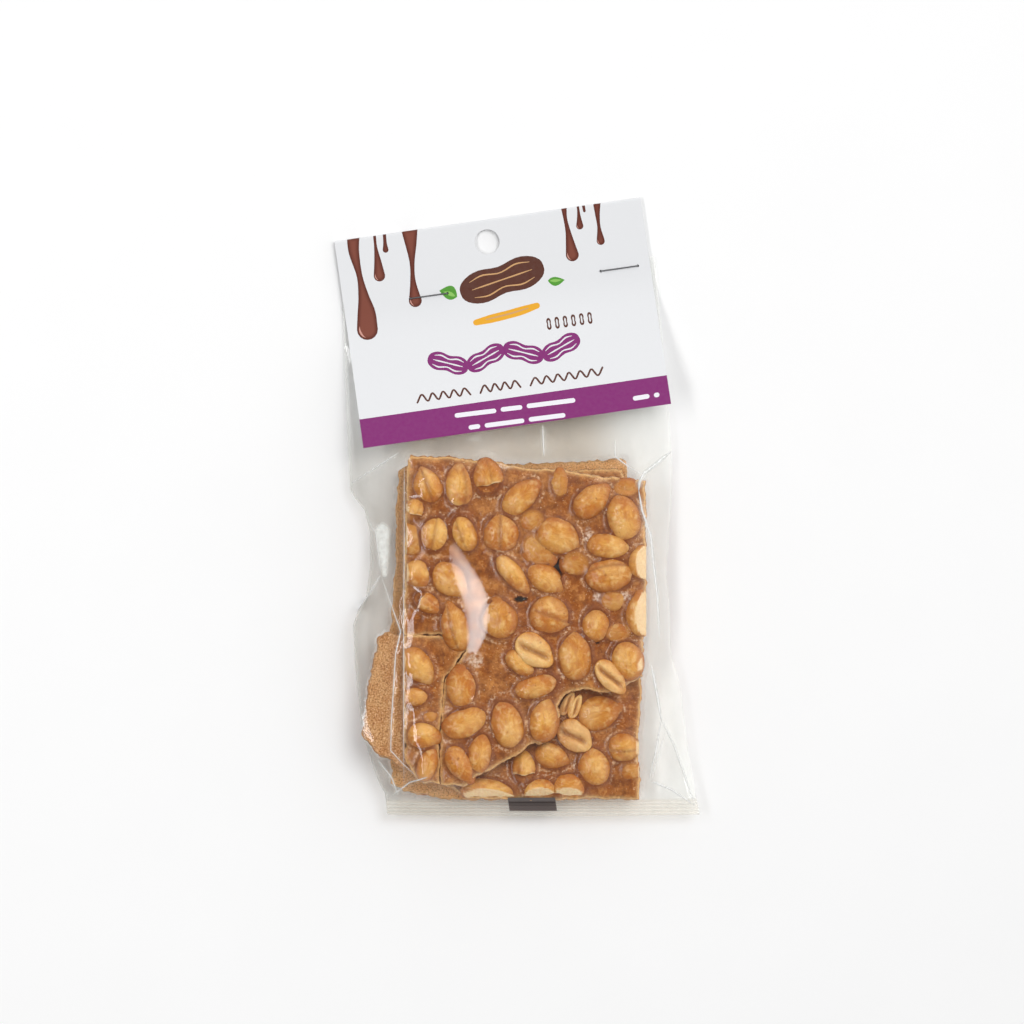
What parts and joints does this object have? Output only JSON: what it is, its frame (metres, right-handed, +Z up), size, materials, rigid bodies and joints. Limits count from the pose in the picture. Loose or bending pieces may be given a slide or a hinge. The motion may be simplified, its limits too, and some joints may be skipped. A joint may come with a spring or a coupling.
{
  "type": "bag of peanut brittle",
  "caption": "Clear sealed bag of stacked peanut brittle slabs, closed by a folded header card with a hang hole and staples, lying on its back.",
  "frame": {"origin": "on the flat back face that the pack rests on, under the middle of the slabs", "axes": "+X to the pack's right seen from the front, +Y from the bottom seal to the header card, +Z up, out of the pack's front"},
  "size_m": [0.1209, 0.2041, 0.0204],
  "materials": {
    "filled_film": "glossy clear film over caramel brittle with roasted peanuts",
    "board": "smooth coated white board",
    "steel": "plain steel wire"
  },
  "bodies": {
    "root": {"bag": "filled_film", "header_card": "board", "staple_left": "steel", "staple_right": "steel"}
  },
  "joints": []
}
